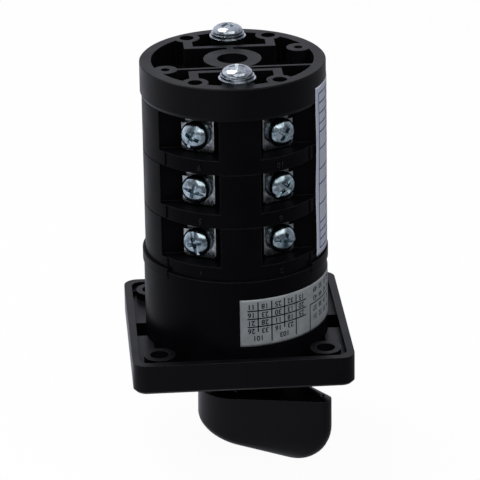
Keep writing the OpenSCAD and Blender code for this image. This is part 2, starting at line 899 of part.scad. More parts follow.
module fixed_contacts_1() fixed_contacts(1);
module fixed_contacts_2() fixed_contacts(2);
module fixed_contacts_3() fixed_contacts(3);

module cam(level) {
    socket_w = spindle_w + 2 * fit;
    color(white_nylon)
        translate([0, 0, stage_z(level)])
            difference() {
                union() {
                    cylinder(r = cam_hub_r, h = stage_h);
                    translate([0, 0, cam_base])
                        linear_extrude(cam_t)
                            polygon([for (a = [0:6:354]) cam_radius(a) * [cos(a), sin(a)]]);
                }
                rotate([0, 0, knob_angle])
                    box([-socket_w / 2, socket_w / 2], [-socket_w / 2, socket_w / 2],
                        [-cut, stage_h + cut]);
            }
}

module cam_1() cam(1);
module cam_2() cam(2);
module cam_3() cam(3);

// Local X runs out along the carrier's travel; shift is how far its cam holds it out
module at_side(level, side, shift) {
    translate([0, 0, stage_z(level) + cam_mid])
        mirror([side < 0 ? 1 : 0, 0, 0])
            translate([shift, 0, 0])
                children();
}

module plunger(level, side) {
    nose_x = cam_low + cam_gap;
    color(red_plastic)
        at_side(level, side, side < 0 ? cam_lift : 0) {
            translate([nose_x + nose_r, 0, -plunger_h / 2])
                cylinder(r = nose_r, h = plunger_h);
            box([nose_x + nose_out, bridge_x], [-plunger_half, plunger_half],
                [-plunger_h / 2, plunger_h / 2]);
            translate([bridge_x - skin, 0, 0])
                rotate([0, 90, 0])
                    cylinder(r = stud_r, h = stud_l + skin);
        }
}

module plunger_right_1() plunger(1, 1);
module plunger_right_2() plunger(2, 1);
module plunger_right_3() plunger(3, 1);
module plunger_left_1() plunger(1, -1);
module plunger_left_2() plunger(2, -1);
module plunger_left_3() plunger(3, -1);

module bridge(level, side) {
    tip_x = bridge_x - pad_t;
    color(copper)
        at_side(level, side, side < 0 ? cam_lift : 0)
            difference() {
                union() {
                    box([bridge_x, bridge_x + bridge_t], [-bridge_half, bridge_half],
                        [-bridge_h / 2, bridge_h / 2]);
                    for (s = [-1, 1])
                        translate([tip_x, s * tip_y, 0])
                            rotate([0, 90, 0])
                                cylinder(r = tip_r, h = pad_t + skin);
                }
                translate([bridge_x - cut, 0, 0])
                    rotate([0, 90, 0])
                        cylinder(r = stud_r + fit, h = bridge_t + 2 * cut);
            }
}

module bridge_right_1() bridge(1, 1);
module bridge_right_2() bridge(2, 1);
module bridge_right_3() bridge(3, 1);
module bridge_left_1() bridge(1, -1);
module bridge_left_2() bridge(2, -1);
module bridge_left_3() bridge(3, -1);

module contact_spring(level, side) {
    coil_r = stud_r + 2 * spring_wire_r + slide_gap;
    shift = side < 0 ? cam_lift : 0;
    from_x = bridge_x + bridge_t + shift + slide_gap;
    to_x = chamber_r - seat_gap;
    color(steel)
        at_side(level, side, 0)
            translate([from_x, 0, 0])
                rotate([0, 90, 0])
                    coil(coil_r, spring_wire_r, to_x - from_x, spring_turns);
}

module spring_right_1() contact_spring(1, 1);
module spring_right_2() contact_spring(2, 1);
module spring_right_3() contact_spring(3, 1);
module spring_left_1() contact_spring(1, -1);
module spring_left_2() contact_spring(2, -1);
module spring_left_3() contact_spring(3, -1);

module index_wheel() {
    socket_w = spindle_w + 2 * fit;
    low = z_seat + latch_floor + seat_gap;
    boss_cos = (pow(tie_y, 2) + pow(lug_r, 2) - pow(tie_boss_r, 2)) / (2 * tie_y * lug_r);
    boss_angle = acos(boss_cos);
    lug_angle = 180 - 2 * boss_angle - switch_angle - 2 * stop_margin_angle;
    color(white_nylon)
        difference() {
            union() {
                translate([0, 0, low])
                    cylinder(r = cam_hub_r, h = z_stage - low);
                translate([0, 0, low])
                    linear_extrude(wheel_t - 2 * seat_gap)
                        polygon([for (a = [0:3:357]) wheel_radius(a) * [cos(a), sin(a)]]);
                rotate([0, 0, switch_angle / 2 - lug_angle / 2])
                    translate([0, 0, z_seat + lug_z])
                        rotate_extrude(angle = lug_angle, $fn = 96)
                            translate([cam_hub_r - skin, 0])
                                square([lug_r - cam_hub_r + skin, lug_t]);
            }
            rotate([0, 0, knob_angle])
                box([-socket_w / 2, socket_w / 2], [-socket_w / 2, socket_w / 2],
                    [low - cut, z_stage + cut]);
        }
}

module index_pawl(side) {
    roller_x = wheel_crest + cam_gap + roller_r;
    base = z_seat + latch_floor + seat_gap;
    color(red_plastic)
        mirror([side < 0 ? 1 : 0, 0, 0])
            translate([roller_x, 0, base]) {
                cylinder(r = roller_r, h = roller_h);
                box([0, pawl_l], [-guide_half + slide_gap, guide_half - slide_gap], [0, roller_h]);
            }
}

module index_pawl_right() index_pawl(1);
module index_pawl_left() index_pawl(-1);

module index_spring(side) {
    from_x = wheel_crest + cam_gap + roller_r + pawl_l + slide_gap;
    to_x = latch_r - latch_wall - seat_gap;
    color(steel)
        mirror([side < 0 ? 1 : 0, 0, 0])
            translate([from_x, 0, z_seat + latch_floor + seat_gap + roller_h / 2])
                rotate([0, 90, 0])
                    coil(index_coil_r, spring_wire_r, to_x - from_x, spring_turns);
}

module index_spring_right() index_spring(1);
module index_spring_left() index_spring(-1);

module rating_label() {
    color(label_silver)
        rotate([0, 0, rating_from])
            rotate_extrude(angle = rating_sweep, $fn = 96)
                translate([latch_r + label_gap, z_seat + rating_low])
                    square([label_t, rating_h]);
}

module side_label() {
    color(label_white)
        rotate([0, 0, side_from])
            rotate_extrude(angle = side_sweep, $fn = 96)
                translate([cap_r + label_gap, z_stage + side_low])
                    square([label_t, side_h]);
}

rear_cap();
stage_housing_1();
stage_housing_2();
stage_housing_3();
latch_housing();
face_plate();
knob();
knob_screw();
shaft();
tie_bolts();
tie_flat_washers();
tie_spring_washers();
terminal_screws_1();
terminal_screws_2();
terminal_screws_3();
terminal_washers_1();
terminal_washers_2();
terminal_washers_3();
clamp_plates_1();
clamp_plates_2();
clamp_plates_3();
fixed_contacts_1();
fixed_contacts_2();
fixed_contacts_3();
cam_1();
cam_2();
cam_3();
plunger_right_1();
plunger_right_2();
plunger_right_3();
plunger_left_1();
plunger_left_2();
plunger_left_3();
bridge_right_1();
bridge_right_2();
bridge_right_3();
bridge_left_1();
bridge_left_2();
bridge_left_3();
spring_right_1();
spring_right_2();
spring_right_3();
spring_left_1();
spring_left_2();
spring_left_3();
index_wheel();
index_pawl_right();
index_pawl_left();
index_spring_right();
index_spring_left();
plate_screws();
rating_label();
side_label();
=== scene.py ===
"""The looks of a rotary changeover switch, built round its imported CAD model. Lengths are in metres."""

import json
import math

import bmesh
import bpy
from mathutils import Matrix, Vector


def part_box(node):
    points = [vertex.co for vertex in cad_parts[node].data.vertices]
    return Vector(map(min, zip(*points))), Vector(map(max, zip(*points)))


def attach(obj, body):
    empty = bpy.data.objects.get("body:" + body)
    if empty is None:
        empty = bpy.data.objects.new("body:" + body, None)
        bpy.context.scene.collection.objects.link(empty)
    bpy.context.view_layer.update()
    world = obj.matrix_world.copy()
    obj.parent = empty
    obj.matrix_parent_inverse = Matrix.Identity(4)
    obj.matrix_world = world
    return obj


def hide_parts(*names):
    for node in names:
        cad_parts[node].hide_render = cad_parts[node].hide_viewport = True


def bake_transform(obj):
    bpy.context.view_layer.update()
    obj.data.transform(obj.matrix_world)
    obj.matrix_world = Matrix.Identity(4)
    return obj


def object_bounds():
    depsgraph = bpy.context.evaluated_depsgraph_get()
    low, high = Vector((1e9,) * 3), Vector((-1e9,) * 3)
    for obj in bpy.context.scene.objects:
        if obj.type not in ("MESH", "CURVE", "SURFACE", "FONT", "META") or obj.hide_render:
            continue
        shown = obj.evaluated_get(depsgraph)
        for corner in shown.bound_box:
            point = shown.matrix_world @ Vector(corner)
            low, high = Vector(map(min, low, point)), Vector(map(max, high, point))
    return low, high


MM = 0.001
UP = Vector((0, 0, 1))

# The camera, as fitted to the photograph
PHOTO_W = 480
CAMERA_DISTANCE = 933.7 * MM
CAMERA_TURN = -0.0700
CAMERA_LIFT = 0.3906
CAMERA_ROLL = -0.0156
FOCAL_PX = 3193.2
SENSOR_W = 36.0
AIM_HEIGHT = 24.718 * MM
AIM_SIDE = 1.379 * MM
CLIP_NEAR = 0.05
CLIP_FAR = 20.0

# The room: what shows plain, what lights the object and what its gloss mirrors, with places from -1 to 1
WHITE = 1.0
PLAIN_WHITE = (1, 1, 1, 1)
ROOM_TINT = (0.88, 0.89, 1.0, 1.0)
AMBIENT = 0.10
MIRRORED_FRONT = 0.25
MIRRORED_BACK = 1.2
FRONT_END = -0.5
BACK_START = 0.4
MIRRORED_RIGHT = 0.6
SIDE_END = 0.9

# The floor, and the glow of it that gloss mirrors
FLOOR_DROP = 0.2 * MM
FLOOR_REACH = 3.0
FLOOR_ROUGHNESS = 0.9
FLOOR_GLOW = 0.96
RIGHT_GLOW = 0.35
RIGHT_GLOW_END = 40 * MM
LEFT_GLOW_START = -100 * MM

# The lamps, from the middle of the object
KEY_PLACE = Vector((-0.3, 0.15, 0.75))
KEY_SIZE = (0.6, 0.5)
KEY_POWER = 5.0
FILL_PLACE = Vector((0.2, -0.75, 0.8))
FILL_SIZE = (1.5, 1.1)
FILL_POWER = 8.0

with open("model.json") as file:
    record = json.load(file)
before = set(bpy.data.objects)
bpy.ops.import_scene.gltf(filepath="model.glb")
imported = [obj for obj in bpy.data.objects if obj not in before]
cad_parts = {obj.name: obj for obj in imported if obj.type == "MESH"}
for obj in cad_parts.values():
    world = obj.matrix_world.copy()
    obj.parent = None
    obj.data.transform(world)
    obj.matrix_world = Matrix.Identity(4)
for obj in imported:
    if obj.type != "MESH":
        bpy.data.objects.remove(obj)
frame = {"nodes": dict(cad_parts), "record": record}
cad_low, cad_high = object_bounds()
nodes = frame["nodes"]


def linear(*srgb):
    """Linear colour of an sRGB triple from 0 to 255, with full alpha."""
    def one(v):
        v /= 255
        return v / 12.92 if v <= 0.04045 else ((v + 0.055) / 1.055) ** 2.4
    return (*map(one, srgb), 1.0)


class Nodes:
    """A short way to wire the nodes of a material or a world."""

    def __init__(self, owner):
        owner.use_nodes = True
        self.owner = owner
        self.tree = owner.node_tree
        self.shader = self.tree.nodes.get("Principled BSDF")

    def add(self, kind, **values):
        """A node, each value being a setting or an input of it."""
        node = self.tree.nodes.new(kind)
        for key, value in values.items():
            if hasattr(node, key):
                setattr(node, key, value)
            else:
                node.inputs[key.replace("_", " ").title()].default_value = value
        return node

    def link(self, source, target):
        self.tree.links.new(source, target)

    def place(self):
        """The point on the object, in metres."""
        return self.add("ShaderNodeTexCoord").outputs["Object"]

    def noise(self, grain, detail=3.0, roughness=0.55):
        """Noise with features about grain metres across."""
        node = self.add("ShaderNodeTexNoise", scale=1 / grain, detail=detail, roughness=roughness)
        self.link(self.place(), node.inputs["Vector"])
        return node.outputs["Fac"]

    def spread(self, source, low, high, start=0.3, end=0.7):
        """A value that runs from start to end, taken to the range low to high."""
        node = self.add("ShaderNodeMapRange")
        self.link(source, node.inputs["Value"])
        for key, value in (("From Min", start), ("From Max", end), ("To Min", low), ("To Max", high)):
            node.inputs[key].default_value = value
        return node.outputs["Result"]

    def colours(self, source, low, high, start=0.0, end=1.0):
        """A blend of two colours, by a value that runs from start to end."""
        node = self.add("ShaderNodeValToRGB")
        self.link(source, node.inputs["Fac"])
        for element, place, colour in zip(node.color_ramp.elements, (start, end), (low, high)):
            element.position = place
            element.color = colour
        return node.outputs["Color"]

    def maths(self, operation, one, two):
        """One sum of two values."""
        node = self.add("ShaderNodeMath", operation=operation)
        self.link(one, node.inputs[0])
        self.link(two, node.inputs[1])
        return node.outputs[0]

    def background(self, strength, colour):
        """Light of one colour from all round."""
        node = self.add("ShaderNodeBackground", strength=strength)
        node.inputs["Color"].default_value = colour
        return node

    def mix(self, share, one, two):
        """A mix of two shaders."""
        node = self.add("ShaderNodeMixShader")
        for source, target in zip((share, one, two), node.inputs):
            self.link(source, target)
        return node.outputs[0]

    def rounded(self, edge):
        """The normal, with edges rounded to that radius."""
        node = self.add("ShaderNodeBevel", samples=4)
        node.inputs["Radius"].default_value = edge
        return node.outputs["Normal"]

    def bump(self, source, depth, edge=0.0):
        """Bumps of that depth in metres, on edges rounded to that radius."""
        node = self.add("ShaderNodeBump")
        node.inputs["Distance"].default_value = depth
        self.link(source, node.inputs["Height"])
        if edge:
            self.link(self.rounded(edge), node.inputs["Normal"])
        self.link(node.outputs["Normal"], self.shader.inputs["Normal"])


def new_material(name):
    return Nodes(bpy.data.materials.new(name))


# Moulded plastic
PATCH = 9 * MM
MOULDED_GRAIN = 0.35 * MM
MOULDED_DEPTH = 0.01 * MM
# Rounded edges are painted paler: partly wear, partly a painted highlight where the edges catch light
EDGE_WEAR_AND_HIGHLIGHT_COLOUR = linear(74, 73, 78)
EDGE_WEAR_AND_HIGHLIGHT_SHARE = 0.5
EDGE_WEAR_AND_HIGHLIGHT_START = 0.99
EDGE_WEAR_AND_HIGHLIGHT_END = 0.85


def moulding(name, dark, light, gloss, edge, shine=0.5):
    """Plastic with a fine grain, slow changes of gloss, a paler skin in places, and rounded edges painted
    paler as wear and as a painted highlight.
    """
    m = new_material(name)
    patches = m.noise(PATCH, detail=4.0)
    skin = m.colours(patches, linear(*dark), linear(*light), start=0.35, end=0.7)
    facing = m.add("ShaderNodeVectorMath", operation="DOT_PRODUCT")
    m.link(m.rounded(edge), facing.inputs[0])
    m.link(m.add("ShaderNodeNewGeometry").outputs["Normal"], facing.inputs[1])
    # Mixes the paler edge colour, wear and painted highlight together, into the skin
    edge_wear_and_highlight = m.add("ShaderNodeMix", data_type="RGBA")
    m.link(m.spread(facing.outputs["Value"], 0.0, EDGE_WEAR_AND_HIGHLIGHT_SHARE, EDGE_WEAR_AND_HIGHLIGHT_START, EDGE_WEAR_AND_HIGHLIGHT_END), edge_wear_and_highlight.inputs["Factor"])
    m.link(skin, edge_wear_and_highlight.inputs["A"])
    edge_wear_and_highlight.inputs["B"].default_value = EDGE_WEAR_AND_HIGHLIGHT_COLOUR
    m.link(edge_wear_and_highlight.outputs["Result"], m.shader.inputs["Base Color"])
    m.link(m.spread(patches, *gloss), m.shader.inputs["Roughness"])
    m.shader.inputs["Specular IOR Level"].default_value = shine
    m.bump(m.noise(MOULDED_GRAIN, detail=2.0), MOULDED_DEPTH, edge)
    return m.owner


# Metal
STAIN = 1.8 * MM
POLISH_PATCH = 0.7 * MM
SCRATCH_GRAIN = 0.25 * MM
SCRATCH_DEPTH = 0.006 * MM


def metal(name, dark, light, gloss, edge, scratch=SCRATCH_DEPTH):
    """Plated or turned metal, with stains in the plating and fine scratches."""
    m = new_material(name)
    m.shader.inputs["Metallic"].default_value = 1.0
    stains = m.noise(STAIN, detail=5.0, roughness=0.65)
    plating = m.colours(stains, linear(*dark), linear(*light), start=0.32, end=0.62)
    m.link(plating, m.shader.inputs["Base Color"])
    m.link(m.spread(m.noise(POLISH_PATCH, detail=4.0), *gloss), m.shader.inputs["Roughness"])
    m.bump(m.noise(SCRATCH_GRAIN), scratch, edge)
    return m.owner


# Label film
MOTTLE = 2.5 * MM
FILM_GRAIN = 0.5 * MM
FILM_DEPTH = 0.004 * MM


def film(name, dark, light, gloss):
    """Printed label film, faintly mottled."""
    m = new_material(name)
    mottle = m.noise(MOTTLE, detail=4.0)
    sheet = m.colours(mottle, linear(*dark), linear(*light), start=0.3, end=0.7)
    m.link(sheet, m.shader.inputs["Base Color"])
    m.link(m.spread(mottle, *gloss), m.shader.inputs["Roughness"])
    m.bump(m.noise(FILM_GRAIN), FILM_DEPTH)
    return m.owner


# Printing ink
INK_PATCH = 0.4 * MM
INK_GLOSS_PATCH = 1.2 * MM
INK_GLOSS = (0.45, 0.6)
INK_SHINE = 0.1
INK_GRAIN = 0.3 * MM
INK_DEPTH = 0.002 * MM


def ink(name, dark, light):
    """Printing ink that is thin in places."""
    m = new_material(name)
    layer = m.colours(m.noise(INK_PATCH), linear(*dark), linear(*light), start=0.35, end=0.75)
    m.link(layer, m.shader.inputs["Base Color"])
    m.link(m.spread(m.noise(INK_GLOSS_PATCH), *INK_GLOSS), m.shader.inputs["Roughness"])
    m.shader.inputs["Specular IOR Level"].default_value = INK_SHINE
    m.bump(m.noise(INK_GRAIN), INK_DEPTH)
    return m.owner


# The finishes: dark and light sRGB colour, roughness where smooth and where rough, rounding of the edges
SATIN = (0.30, 0.42)
FINE_SCRATCH = 0.001 * MM
FAINT_SCRATCH = 0.0006 * MM
black_plastic = moulding("black_plastic", (9, 9, 12), (14, 14, 18), SATIN, edge=0.25 * MM, shine=0.03)
plate_plastic = moulding("plate_plastic", (8, 8, 11), (12, 12, 16), SATIN, edge=0.2 * MM, shine=0.1)
number_plastic = moulding("number_plastic", (20, 20, 24), (30, 30, 35), SATIN, edge=0.1 * MM, shine=0.1)
cap_plastic = moulding("cap_plastic", (8, 8, 10), (12, 12, 15), SATIN, edge=0.2 * MM, shine=0.08)
knob_plastic = moulding("knob_plastic", (9, 9, 12), (13, 13, 16), (0.22, 0.32), edge=0.2 * MM, shine=0.17)
white_nylon = moulding("white_nylon", (206, 202, 190), (228, 226, 216), (0.35, 0.5), edge=0.15 * MM)
red_plastic = moulding("red_plastic", (128, 34, 24), (158, 46, 34), (0.32, 0.46), edge=0.15 * MM)
clamp_zinc = metal("clamp_zinc", (84, 90, 94), (168, 172, 174), (0.16, 0.34), 0.1 * MM, FINE_SCRATCH)
zinc = metal("zinc_plate", (78, 97, 105), (180, 196, 202), (0.12, 0.26), 0.1 * MM, FINE_SCRATCH)
tie_zinc = metal("tie_zinc", (112, 120, 127), (190, 197, 202), (0.12, 0.24), 0.1 * MM, FAINT_SCRATCH)
bright_steel = metal("bright_steel", (150, 152, 156), (205, 206, 210), (0.2, 0.36), edge=0.1 * MM)
spring_steel = metal("spring_steel", (120, 122, 126), (180, 182, 186), (0.22, 0.38), edge=0.0)
tinned_copper = metal("tinned_copper", (108, 112, 112), (160, 164, 162), (0.3, 0.46), edge=0.08 * MM)
copper_alloy = metal("copper_alloy", (160, 110, 70), (214, 160, 106), (0.2, 0.36), edge=0.08 * MM)
silver_film = film("silver_film", (152, 158, 162), (174, 180, 184), (0.38, 0.52))
white_film = film("white_film", (214, 221, 240), (228, 234, 250), (0.36, 0.5))
black_ink = ink("black_ink", (8, 10, 12), (22, 26, 30))
blue_ink = ink("blue_ink", (44, 62, 128), (78, 98, 160))

SLOT_FINISH = {
    "black_moulding": black_plastic,
    "dark_moulding": cap_plastic,
    "zinc_plate": zinc,
    "bright_steel": bright_steel,
    "spring_steel": spring_steel,
    "copper_alloy": copper_alloy,
    "white_nylon": white_nylon,
    "red_plastic": red_plastic,
    "silver_label": silver_film,
    "white_label": white_film,
}

# Nodes that look unlike the others of their slot
OWN_FINISH = {
    "knob": knob_plastic,
    "face_plate": plate_plastic,
    "tie_flat_washers": tie_zinc,
    "tie_spring_washers": tie_zinc,
}
STAGES = (1, 2, 3)
for stage in STAGES:
    OWN_FINISH[f"clamp_plates_{stage}"] = clamp_zinc
    OWN_FINISH[f"fixed_contacts_{stage}"] = tinned_copper


def dress_nodes():
    """Gives each CAD node its own finish, or else that of its slot."""
    for row in frame["record"]["subparts"]:
        materials = nodes[row["node"]].data.materials
        materials.clear()
        materials.append(OWN_FINISH.get(row["node"], SLOT_FINISH[row["material_slot"]]))


def new_piece(name, mesh, finish, body="housing"):
    """An object from a finished bmesh, which rides on a body unless body is None."""
    data = bpy.data.meshes.new(name)
    mesh.to_mesh(data)
    mesh.free()
    data.materials.append(finish)
    piece = bpy.data.objects.new(name, data)
    bpy.context.scene.collection.objects.link(piece)
    if body:
        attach(piece, body)
    return piece


def finished_mesh(thing):
    """The mesh of an object as its modifiers or its text leave it."""
    bpy.context.view_layer.update()
    return bpy.data.meshes.new_from_object(thing.evaluated_get(bpy.context.evaluated_depsgraph_get()))


def thicken(piece, thickness):
    """Gives a sheet its thickness, inwards."""
    solid = piece.modifiers.new("thickness", "SOLIDIFY")
    solid.thickness = thickness
    solid.offset = -1.0
    for face in piece.data.polygons:
        face.use_smooth = True


# Wrapped sheets and numerals
SHEET_STEP = 0.8 * MM
BOLD_SHARE = 0.022
CURVE_STEPS = 3


class Wrap:
    """A sheet wrapped round the switch: along is the arc from its left edge, up is the height."""

    def __init__(self, radius, start, ripple=None):
        self.radius = radius
        self.start = start
        self.ripple = ripple or (lambda along, up: 0.0)

    def point(self, along, up, lift=0.0):
        angle = self.start + along / self.radius
        r = self.radius + lift + self.ripple(along, up)
        return Vector((r * math.sin(angle), -r * math.cos(angle), up))

    def sheet(self, mesh, along, up, lift=0.0):
        """Adds a rectangle of small faces from along[0] to along[1] and up[0] to up[1]."""
        columns = max(1, math.ceil((along[1] - along[0]) / SHEET_STEP))
        rows = max(1, math.ceil((up[1] - up[0]) / SHEET_STEP))
        xs = [along[0] + (along[1] - along[0]) * i / columns for i in range(columns + 1)]
        ys = [up[0] + (up[1] - up[0]) * j / rows for j in range(rows + 1)]
        grid = [[mesh.verts.new(self.point(x, y, lift)) for x in xs] for y in ys]
        for low, high in zip(grid, grid[1:]):
            for i in range(columns):
                mesh.faces.new((low[i], low[i + 1], high[i + 1], high[i]))

    def digits(self, mesh, text, along, up, height, lift):
        """Adds plain numerals centred on a place of the sheet, upside down as the switch stands."""
        curve = bpy.data.curves.new("numerals", "FONT")
        curve.body = text
        curve.size = height
        curve.offset = height * BOLD_SHARE
        curve.align_x = "CENTER"
        curve.align_y = "CENTER"
        curve.resolution_u = CURVE_STEPS
        thing = bpy.data.objects.new("numerals", curve)
        bpy.context.scene.collection.objects.link(thing)
        flat = finished_mesh(thing)
        made = [mesh.verts.new(self.point(along - v.co.x, up - v.co.y, lift)) for v in flat.vertices]
        for face in flat.polygons:
            mesh.faces.new([made[i] for i in face.vertices])
        bpy.data.objects.remove(thing)
        bpy.data.meshes.remove(flat)


# Labels
FILM_T = 0.12 * MM
INK_LIFT = 0.02 * MM
LINE_W = 0.38 * MM


def label(name, wrap, along, up, film_finish, ink_finish, rules, numbers, digit_h):
    """A label and its print: rules are (along, up) spans, numbers are (text, along, up) places."""
    sheet = bmesh.new()
    wrap.sheet(sheet, along, up)
    base = new_piece(name, sheet, film_finish)
    thicken(base, FILM_T)
    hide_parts(name.replace("_film", ""))
    print_mesh = bmesh.new()
    for line_along, line_up in rules:
        wrap.sheet(print_mesh, line_along, line_up, INK_LIFT)
    for text, x, y in numbers:
        wrap.digits(print_mesh, text, x, y, digit_h, INK_LIFT)
    new_piece(name + "_print", print_mesh, ink_finish)


def upright(x, low, high):
    """A rule up a label."""
    return ((x - LINE_W / 2, x + LINE_W / 2), (low, high))


def level(y, left, right):
    """A rule across a label."""
    return ((left, right), (y - LINE_W / 2, y + LINE_W / 2))


# The silver label: a grid on its left, and a block of numbers with a frame on its right
RATING_PROUD = 0.02 * MM
RATING_START = math.radians(-1.8)
RATING_ANGLE = math.radians(97)
RATING_DIGIT_H = 2.2 * MM
GRID_LEFT = 2.1 * MM
GRID_RIGHT = 21.7 * MM
COLUMNS = 4
COLUMN_START = 5.25 * MM
COLUMN_STEP = 4.13 * MM
COLUMN_TOP_GAP = 0.9 * MM
SHORT_COLUMN_TAIL = 1.6 * MM
LONG_COLUMN_GAP = 1.0 * MM
ROWS = 3
ROW_DROP = 3.5 * MM
ROW_STEP = 2.48 * MM
FIRST_CELL_BACK = 2 * MM
CELL_SHIFT = 2.06 * MM
TOP_CELL_RISE = 1.35 * MM
CELL_DROP = 1.24 * MM
TOTAL_DROP = 2.3 * MM
BLOCK_LEFT = 23.6 * MM
BLOCK_FOOT = 0.1 * MM
BLOCK_H = 8.4 * MM
BLOCK_END_GAP = 2 * MM
BLOCK_COLUMNS = 6
BLOCK_NUMBER_START = 2.6 * MM
BLOCK_NUMBER_STEP = 3.3 * MM
BLOCK_NUMBER_HEIGHTS = (4.0 * MM, 6.8 * MM, 10.0 * MM, 12.6 * MM)
BLOCK_FIRST = 31
CELL_FIRST = 11
CELL_STEP = 7
CELL_ROW_STEP = 5
CELL_NUMBERS = 24
TOTALS = {0: "101", 2: "103"}


def cell_number(i, j):
    """A plain two-digit number for a cell of the grid."""
    return str(CELL_FIRST + (CELL_STEP * i + CELL_ROW_STEP * j) % CELL_NUMBERS)


def rating_label():
    """The silver label on the latch housing, with plain numbers that stand upside down."""
    low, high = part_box("rating_label")
    radius = high.x + RATING_PROUD
    length = RATING_ANGLE * radius
    columns = [COLUMN_START + COLUMN_STEP * i for i in range(COLUMNS)]
    rows = [high.z - ROW_DROP - ROW_STEP * j for j in range(ROWS)]
    rules = [level(y, GRID_LEFT, GRID_RIGHT) for y in rows]
    for i, x in enumerate(columns):
        foot = low.z + LONG_COLUMN_GAP if i % 2 else rows[-1] - SHORT_COLUMN_TAIL
        rules.append(upright(x, foot, high.z - COLUMN_TOP_GAP))
    rules.append(upright(BLOCK_LEFT, low.z + BLOCK_FOOT, low.z + BLOCK_H))
    rules.append(level(low.z + BLOCK_H, BLOCK_LEFT, length - BLOCK_END_GAP))
    middles = [columns[0] - FIRST_CELL_BACK] + [x + CELL_SHIFT for x in columns]
    heights = [rows[0] + TOP_CELL_RISE] + [y - CELL_DROP for y in rows]
    numbers = []
    for j, y in enumerate(heights):
        for i, x in enumerate(middles[:COLUMNS] if j == ROWS else middles):
            numbers.append((cell_number(i, j), x, y))
    for i, text in TOTALS.items():
        numbers.append((text, (middles[i] + middles[i + 1]) / 2, heights[-1] - TOTAL_DROP))
    for i in range(BLOCK_COLUMNS):
        x = BLOCK_LEFT + BLOCK_NUMBER_START + BLOCK_NUMBER_STEP * i
        for j, rise in enumerate(BLOCK_NUMBER_HEIGHTS):
            numbers.append((str(BLOCK_FIRST + i + BLOCK_COLUMNS * j), x, low.z + rise))
    label("rating_label_film", Wrap(radius, RATING_START), (0.0, length), (low.z, high.z), silver_film,
          black_ink, rules, numbers, RATING_DIGIT_H)


# The white label, which stands off in waves at its front edge, with the waves' angles in radians
SIDE_SINK = 0.05 * MM
SIDE_START = math.radians(57)
SIDE_ANGLE = math.radians(68)
SIDE_DIGIT_H = 1.7 * MM
RULE_END_GAP = 2.0 * MM
RULE_FOOT_GAP = 2.2 * MM
WAVE_H = 0.12 * MM
WAVE_TURN = 11
WAVE_START = 0.6
WAVE_FADE = 6 * MM
ROW_SHARES = (0.04, 0.09, 0.14, 0.19, 0.30, 0.42, 0.51, 0.63, 0.73, 0.78, 0.84, 0.90, 0.957)


def side_label():
    """The white label down the side of the stages, with blue rules and plain counting numbers."""
    low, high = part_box("side_label")
    radius = high.x - SIDE_SINK
    bottom = low.z
    top = high.z
    length = SIDE_ANGLE * radius

    def ripple(along, up):
        share = (up - bottom) / (top - bottom)
        return WAVE_H * math.sin(WAVE_TURN * share + WAVE_START) * math.exp(-along / WAVE_FADE)

    left = RULE_END_GAP
    right = length - RULE_END_GAP
    uprights = (left, right, (left + right) / 2)
    rules = [upright(x, bottom + RULE_FOOT_GAP, top - RULE_FOOT_GAP) for x in uprights]
    heights = [bottom + (top - bottom) * share for share in ROW_SHARES]
    rules += [level(y, left, right) for y in heights]
    numbers = []
    for i, (a, b) in enumerate(zip(heights, heights[1:])):
        numbers.append((str(i + 1), (3 * left + right) / 4, (a + b) / 2))
        numbers.append((str(i + len(heights)), (left + 3 * right) / 4, (a + b) / 2))
    label("side_label_film", Wrap(radius, SIDE_START, ripple), (0.0, length), (bottom, top), white_film,
          blue_ink, rules, numbers, SIDE_DIGIT_H)


# Points of a mesh nearer than this are one, and an axis that rises more than this is upright
WELD = 0.0005 * MM
STEEP = 0.5


def islands(mesh):
    """The separate lumps of a mesh, each as a list of its points."""
    group = {}
    work = bmesh.new()
    work.from_mesh(mesh)
    bmesh.ops.remove_doubles(work, verts=work.verts, dist=WELD)
    for start in work.verts:
        if start in group:
            continue
        lump = []
        group[start] = lump
        front = [start]
        while front:
            v = front.pop()
            lump.append(v.co.copy())
            for edge in v.link_edges:
                w = edge.other_vert(v)
                if w not in group:
                    group[w] = lump
                    front.append(w)
    lumps = {id(lump): lump for lump in group.values()}
    work.free()
    return list(lumps.values())


def seats(name, outward):
    """Where each screw of a node sits: its axes, the middle of its head's top, and the length to its tip."""
    found = []
    thing = nodes[name]
    for lump in islands(thing.data):
        points = [thing.matrix_world @ co for co in lump]
        middle = sum(points, Vector()) / len(points)
        out = outward(middle)
        side = UP.cross(out) if abs(out.z) < STEEP else Vector((1, 0, 0))
        side.normalize()
        rise = out.cross(side)
        spans = [[q.dot(axis) for q in points] for axis in (side, rise, out)]
        centre = side * (min(spans[0]) + max(spans[0])) / 2 + rise * (min(spans[1]) + max(spans[1])) / 2
        found.append((side, rise, out, centre + out * max(spans[2]), max(spans[2]) - min(spans[2])))
    return found


def lathe(mesh, profile, count):
    """Turns a profile of (radius, height) round Z; a radius of zero closes the end."""
    rings = []
    for r, z in profile:
        turns = [math.tau * i / count for i in range(count)] if r else [0]
        rings.append([mesh.verts.new((r * math.cos(a), r * math.sin(a), z)) for a in turns])
    for low, high in zip(rings, rings[1:]):
        for i in range(count):
            j = (i + 1) % count
            if len(low) == 1:
                mesh.faces.new((low[0], high[j], high[i]))
            elif len(high) == 1:
                mesh.faces.new((low[i], low[j], high[0]))
            else:
                mesh.faces.new((low[i], low[j], high[j], high[i]))


